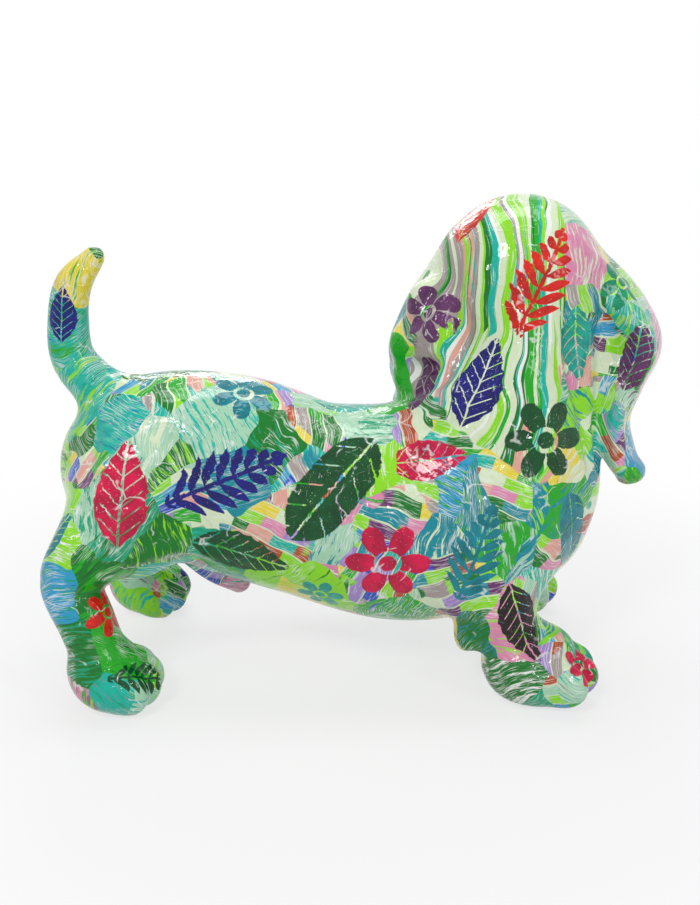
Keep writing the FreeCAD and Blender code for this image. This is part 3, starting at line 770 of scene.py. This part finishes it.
def painted_glaze(settings):
    """Glossy glaze over the painted ground, the flowing stripes and the prints, with faint brush relief, and
    painted highlights: white lines along the pleat ridges, in pale patches.
    """
    paint = Paint(bpy.data.materials.new("painted_glaze"))
    place = paint.places()
    ground, across, along = painted_ground(paint, place)
    ground = flowing_stripes(paint, place, ground)
    ground = printed(paint, place, ground, across, along)
    ground = painted_face(paint, place, ground)
    pleats = paint.add("ShaderNodeTexVoronoi", {"feature": "DISTANCE_TO_EDGE"},
                       {"Vector": paint.warped(place, 0.09, PLEAT_WARP), "Scale": 1 / PLEAT_SIZE})
    ridges = pleats.below(0.02, 0.03)
    # painted highlight: white laid along the pleat ridges, in pale patches, standing in for glints on the
    # glaze's wrinkles
    pale = paint.noise(place, 0.08, 2.0).above(0.60, 0.05)
    ground = paint.mix(ground, linear("white"), ridges * pale * 0.6)
    relief = paint.noise(place, 0.055, 3.0, 0.6) * 2.2 + ridges * 0.22 + paint.noise(place, 0.30, 2.0) * 0.25
    normal = paint.add("ShaderNodeBump", inputs={"Strength": 0.7, "Distance": MM, "Height": relief})
    glaze = paint.add("ShaderNodeBsdfPrincipled", inputs={
        "Base Color": ground, "Roughness": settings.gloss_roughness, "IOR": 1.5,
        "Specular IOR Level": 0.32, "Normal": normal})
    return paint.finish(glaze)


def felt():
    """Matt grey felt: fine fibres from one noise, in colour and relief."""
    paint = Paint(bpy.data.materials.new("felt"))
    fibres = paint.noise(paint.places(), 1.5, 4.0, 0.7)
    stops = [(0.3, (0.03, 0.03, 0.03, 1)), (0.7, (0.09, 0.09, 0.08, 1))]
    colour = paint.add("ShaderNodeValToRGB", {"stops": stops}, {"Fac": fibres})
    normal = paint.add("ShaderNodeBump", inputs={"Strength": 0.8, "Distance": 0.0005, "Height": fibres})
    cloth = paint.add("ShaderNodeBsdfPrincipled", inputs={
        "Base Color": colour, "Roughness": 0.95, "Sheen Weight": 0.3, "Normal": normal})
    return paint.finish(cloth)


# ---- prints ----
LEAF, FROND, BLOSSOM, FEATHER = range(4)
REACHES = ((0.58, 1.05), (0.56, 1.05), (1.02, 1.02), (0.56, 1.08))      # of an oval about it, by kind
PRINT_GAP = 4.0     # least gap in mm between two prints' reaches
PRINT_DEPTH = 0.9   # how far above and below its middle a print reaches, in half lengths
PRINT_FACING = 0.1  # least cosine between the print's normal and the corner's
PRINTS = [      # kind, colour, a point near the surface, the way it points, half its length in mm
    (FROND, "navy", (-59, -42, 113), (1, 0, 0.42), 32),
    (LEAF, "crimson", (-107, -46, 108), (0.1, 0, 1), 26),
    (FEATHER, "bottle", (-8, -44, 110), (0.75, 0, 1), 32),
    (BLOSSOM, "teal", (-52, -16, 148), (1, 0, 0), 17),
    (LEAF, "bottle", (-54, -50, 72), (1, 0, -0.25), 25),
    (BLOSSOM, "crimson", (18, -50, 74), (0, 0, 1), 22),
    (LEAF, "crimson", (38, -36, 120), (1, 0, 0.1), 20),
    (FROND, "teal", (60, -50, 80), (0.3, 0, 1), 27),
    (BLOSSOM, "turquoise", (-16, -42, 48), (0, 0, 1), 13),
    (BLOSSOM, "bottle", (92, -40, 132), (0, 0, 1), 21),
    (LEAF, "navy", (62, -30, 157), (0.2, 0, 1), 23),
    (FROND, "red", (88, -22, 203), (0.5, 0, 1), 29),
    (FEATHER, "teal", (104, -30, 84), (-0.3, 0, 1), 22),
    (LEAF, "turquoise", (112, -24, 174), (0.15, 0, -1), 19),
    (BLOSSOM, "red", (-122, -54, 48), (0, 0, 1), 13),
    (LEAF, "teal", (-132, -46, 82), (0.5, 0, 1), 15),
    (LEAF, "umber", (84, -60, 46), (0.3, 0, -1), 21),
    (BLOSSOM, "crimson", (110, -56, 20), (0, 0, 1), 11),
    (FROND, "bottle", (-104, -62, 16), (1, 0, 0.2), 17),
    (LEAF, "navy", (-139, -6, 186), (0.1, 0, 1), 14),
    (BLOSSOM, "purple", (36, -10, 188), (0, 0, 1), 15),
    (FEATHER, "purple", (38, -12, 152), (0, 0, 1), 14),
    (LEAF, "purple", (142, -8, 164), (0.1, 0, 1), 17),
    (BLOSSOM, "jade", (134, -8, 204), (0, 0, 1), 13),
    (LEAF, "red", (60, 6, 232), (1, 0.6, 0), 17),
    (FROND, "green", (-88, 4, 152), (1, 0.3, 0), 28),
    (LEAF, "turquoise", (2, 4, 134), (1, 0.3, 0), 22),
    (BLOSSOM, "teal", (-140, 0, 104), (0, 0, 1), 19),
    (FEATHER, "crimson", (-30, 46, 106), (1, 0, 0.2), 30),
    (LEAF, "bottle", (-92, 44, 96), (0.3, 0, 1), 28),
    (FROND, "navy", (30, 50, 76), (1, 0, 0.3), 32),
    (BLOSSOM, "turquoise", (72, 40, 118), (0, 0, 1), 20),
    (LEAF, "teal", (-36, 46, 64), (1, 0, -0.2), 21),
    (FEATHER, "teal", (-130, 46, 56), (0.2, 0, 1), 16),
    (LEAF, "red", (98, 30, 144), (0, 0, 1), 20),
    (LEAF, "turquoise", (84, 58, 42), (0.4, 0, -1), 21),
    (FROND, "bottle", (116, 6, 104), (0.1, 0, 1), 22),
    (FROND, "green", (34, 18, 164), (0, 0, -1), 24),
    (BLOSSOM, "red", (90, 40, 236), (0, 0, 1), 13),
    (BLOSSOM, "navy", (-104, 58, 18), (0, 0, 1), 12),
    (LEAF, "purple", (114, 50, 20), (1, 0, 0), 11),
]


def print_marks(clay, points, normals):
    """For each corner within a print's reach: its place across and along the print in half lengths, with
    the print's kind, and the print's colour; and whether it is within reach of any."""
    place = np.zeros((len(points), 3))
    colour = np.ones((len(points), 4))
    near = np.zeros(len(points))
    claimed = np.zeros(len(points), bool)
    for kind, name, centre, way, size in PRINTS:
        centre, normal = clay.settle([centre])
        centre, normal = centre[0], normal[0]
        up = np.array(way, float)
        up = up - up.dot(normal) * normal
        up = up / np.linalg.norm(up)
        right = np.cross(up, normal)
        offset = points - centre
        flat = np.column_stack([offset @ right, offset @ up]) / size
        close = (np.abs(offset @ normal) < PRINT_DEPTH * size) & (normals @ normal > PRINT_FACING)
        oval = np.array(REACHES[kind])
        reaches = (np.hypot(*(flat / oval).T) < 1) & close & ~claimed
        claimed |= (np.hypot(*(flat / (oval + PRINT_GAP / size)).T) < 1) & close
        place[reaches] = np.column_stack([flat, np.full(len(flat), kind)])[reaches]
        colour[reaches] = linear(name)
        near[reaches] = 1
    return place, colour, near


STRIPE_ARC = 40.0   # radius in mm of the arc that measures the way across the stripes


def stripe_marks(points):
    """Where the flowing stripes run, and how much of them shows: from nothing on the body and the ears to 1
    on the head and the neck. They run up the neck, over the crown and down the forehead, side by side: the
    measure across them is the arc from the head's middle plane about its centre."""
    x, y, z = points.T
    axis = SKULL[0] - 0.25 * np.clip(150 - z, 0, 60)
    turn = np.arctan2(x - axis, np.hypot(y - SKULL[1], np.maximum(z - SKULL[2], 0)))
    radius = np.hypot(x - axis, y - 10)
    above_trunk = np.clip((z + 0.55 * (x - 60) - 108) / 30, 0, 1)
    on_neck = np.clip((60 - radius) / 8, 0, 1) * (x > 0)
    short_of_ear = np.clip((104 - x) / 8, 0, 1)
    return STRIPE_ARC * turn, above_trunk * on_neck * short_of_ear


def corner_normals(points, faces):
    """Mean normal of the faces round each corner."""
    normal = np.cross(points[faces[:, 2]] - points[faces[:, 0]], points[faces[:, 3]] - points[faces[:, 1]])
    total = np.zeros_like(points)
    for corner in range(4):
        for axis in range(3):
            total[:, axis] += np.bincount(faces[:, corner], normal[:, axis], len(points))
    return unit(total)


def keep(mesh, name, kind, key, values):
    """Keeps a value for each corner as an attribute of the mesh."""
    layer = mesh.attributes.new(name, kind, "POINT")
    layer.data.foreach_set(key, np.asarray(values, np.float32).ravel())


def add_object(name, data):
    """A new object, at the origin, with that mesh, lamp or camera."""
    piece = bpy.data.objects.new(name, data)
    bpy.context.scene.collection.objects.link(piece)
    return piece


# ---- sizes and colours that a user may change ----
class HoundSettings(bpy.types.PropertyGroup):
    grain_mm: bpy.props.FloatProperty(
        name="Clay grain", description="Spacing of the skin's corners in millimetres", default=1.62, min=1.0)
    gloss_roughness: bpy.props.FloatProperty(
        name="Glaze roughness", description="Roughness of the glaze", default=0.08, subtype="FACTOR")


class StageSettings(bpy.types.PropertyGroup):
    camera_height: bpy.props.FloatProperty(
        name="Camera height", description="Above the floor", default=0.266, unit="LENGTH")
    camera_distance: bpy.props.FloatProperty(
        name="Camera distance", description="From the figure's middle plane", default=0.466, unit="LENGTH")
    camera_dip: bpy.props.FloatProperty(
        name="Camera dip", description="Angle below level", default=math.radians(18.2), subtype="ANGLE")
    lens_mm: bpy.props.FloatProperty(
        name="Lens", description="Focal length", default=37.79, subtype="DISTANCE_CAMERA")
    ambient: bpy.props.FloatProperty(
        name="Ambient", description="Strength of the studio's even light", default=0.28, min=0.0)
    floor_colour: bpy.props.FloatVectorProperty(
        name="Floor", description="Colour of the floor", default=(0.78, 0.78, 0.78), subtype="COLOR")


class HOUND_OT_skin(bpy.types.Operator):
    """Models the glazed skin over all the castings and paints it"""
    bl_idname = "hound.skin"
    bl_label = "Glazed skin"

    def execute(self, context):
        settings = context.scene.hound
        clay = hound(settings.grain_mm)
        points, faces = clay.skin()
        points = polished(clay, points, faces)
        mesh = bpy.data.meshes.new("glazed_skin")
        mesh.from_pydata(points * MM + LAYOUT_ORIGIN, [], faces)
        mesh.polygons.foreach_set("use_smooth", np.ones(len(faces), bool))
        place, colour, near = print_marks(clay, points, corner_normals(points, faces))
        flow, share = stripe_marks(points)
        keep(mesh, "print_place", "FLOAT_VECTOR", "vector", place)
        keep(mesh, "print_colour", "FLOAT_COLOR", "color", colour)
        for name, values in (("print_near", near), ("flow", flow), ("flow_share", share)):
            keep(mesh, name, "FLOAT", "value", values)
        skin = add_object("glazed_skin", mesh)
        mesh.materials.append(painted_glaze(settings))
        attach(skin, "root")
        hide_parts(*CASTINGS)
        return {"FINISHED"}


class HOUND_OT_pads(bpy.types.Operator):
    """Gives the felt pads below the paws their cloth"""
    bl_idname = "hound.pads"
    bl_label = "Felt pads"

    def execute(self, context):
        cloth = felt()
        for name in PADS:
            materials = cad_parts[name].data.materials
            materials.clear()
            materials.append(cloth)
        return {"FINISHED"}


FLOOR_REACH = 3.0               # from its middle to its sides, metres
FLOOR_FADE = (260.0, 280.0)     # middle and breadth, in mm, of the ring where the floor turns white


def floor_finish(settings):
    """Pale floor that keeps the figure's shadow near it and runs out to plain white further off."""
    paint = Paint(bpy.data.materials.new("pale_floor"))
    x, y = paint.split(paint.places())[:2]
    radius = (x * x + y * y).root()
    matt = paint.add("ShaderNodeBsdfPrincipled", inputs={
        "Base Color": tuple(settings.floor_colour) + (1.0,), "Roughness": 0.9, "Specular IOR Level": 0.1})
    white = paint.add("ShaderNodeEmission", inputs={"Color": (1, 1, 1, 1), "Strength": 1.0})
    share = (radius.above(*FLOOR_FADE) * 0.3 + 0.7) * paint.shown()
    return paint.finish(paint.add("ShaderNodeMixShader", inputs={0: share, 1: matt, 2: white}))


def studio_world(ambient):
    """World: plain white where it is seen, mirrored or seen through, and the ambient light elsewhere."""
    paint = Paint(bpy.data.worlds.new("studio"))
    plain = paint.add("ShaderNodeBackground", inputs={"Color": (1, 1, 1, 1), "Strength": 1.0})
    soft = paint.add("ShaderNodeBackground", inputs={"Color": (1, 1, 1, 1), "Strength": ambient})
    both = paint.add("ShaderNodeMixShader", inputs={0: paint.shown(), 1: soft, 2: plain})
    return paint.finish(both, "ShaderNodeOutputWorld")


LAMP_AIM = (0.0, 0.0, 0.11)
LAMPS = [       # name, place in metres, the two sizes, watts
    ("key_lamp", (-0.55, -0.95, 1.25), (0.3, 0.3), 6.5),
    ("fill_lamp", (1.1, -0.9, 0.7), (0.25, 0.7), 4),
    ("top_lamp", (0.0, 0.3, 1.3), (0.9, 0.4), 6),
    ("glint_lamp_1", (0.5, -1.1, 0.95), (0.06, 0.06), 0.9),
    ("glint_lamp_2", (-1.0, -0.8, 0.75), (0.06, 0.06), 0.9),
    ("glint_lamp_3", (0.15, -1.25, 0.45), (0.06, 0.06), 0.9),
    ("back_lamp", (-0.3, 1.2, 0.8), (0.6, 0.4), 4),
]


def add_lamp(name, place, size, power):
    """Soft lamp at place, turned to the figure's middle, in metres and watts."""
    data = bpy.data.lights.new(name, "AREA")
    data.shape = "RECTANGLE"
    data.size, data.size_y = size
    data.energy = power
    lamp = add_object(name, data)
    step = np.subtract(LAMP_AIM, place)
    flat = math.hypot(step[0], step[1])
    lamp.rotation_euler = (math.atan2(flat, -step[2]), 0, math.atan2(-step[0], step[1]))
    lamp.location = place


class HOUND_OT_stage(bpy.types.Operator):
    """Sets the floor, the lamps and the camera"""
    bl_idname = "hound.stage"
    bl_label = "Stage"

    def execute(self, context):
        settings = context.scene.hound_stage
        mesh = bpy.data.meshes.new("floor")
        signs = ((-1, -1), (1, -1), (1, 1), (-1, 1))
        mesh.from_pydata([(x * FLOOR_REACH, y * FLOOR_REACH, 0) for x, y in signs], [], [(0, 1, 2, 3)])
        mesh.materials.append(floor_finish(settings))
        add_object("floor", mesh)
        for lamp in LAMPS:
            add_lamp(*lamp)
        context.scene.world = studio_world(settings.ambient)
        data = bpy.data.cameras.new("camera")
        data.lens = settings.lens_mm
        data.sensor_width = 36.0
        camera = add_object("camera", data)
        camera.location = LAYOUT_ORIGIN + (0, -settings.camera_distance, settings.camera_height)
        camera.rotation_euler = (math.pi / 2 - settings.camera_dip, 0, 0)
        context.scene.camera = camera
        context.scene.view_settings.view_transform = "Standard"
        return {"FINISHED"}


class HOUND_PT_panel(bpy.types.Panel):
    """Lists the figure's pieces, its sizes and its stage"""
    bl_label = "Ceramic Hound"
    bl_idname = "HOUND_PT_panel"
    bl_space_type = "VIEW_3D"
    bl_region_type = "UI"
    bl_category = "Hound"

    def draw(self, context):
        for settings in (context.scene.hound, context.scene.hound_stage):
            for name in settings.__annotations__:
                self.layout.prop(settings, name)
        for operator in (HOUND_OT_skin, HOUND_OT_pads, HOUND_OT_stage):
            self.layout.operator(operator.bl_idname)


CLASSES = (HoundSettings, StageSettings, HOUND_OT_skin, HOUND_OT_pads, HOUND_OT_stage, HOUND_PT_panel)


def register():
    for item in CLASSES:
        bpy.utils.register_class(item)
    bpy.types.Scene.hound = bpy.props.PointerProperty(type=HoundSettings)
    bpy.types.Scene.hound_stage = bpy.props.PointerProperty(type=StageSettings)


def unregister():
    del bpy.types.Scene.hound_stage
    del bpy.types.Scene.hound
    for item in reversed(CLASSES):
        bpy.utils.unregister_class(item)


def main():
    register()
    bpy.ops.hound.stage()
    bpy.ops.hound.skin()
    bpy.ops.hound.pads()


if __name__ == "__main__":
    main()
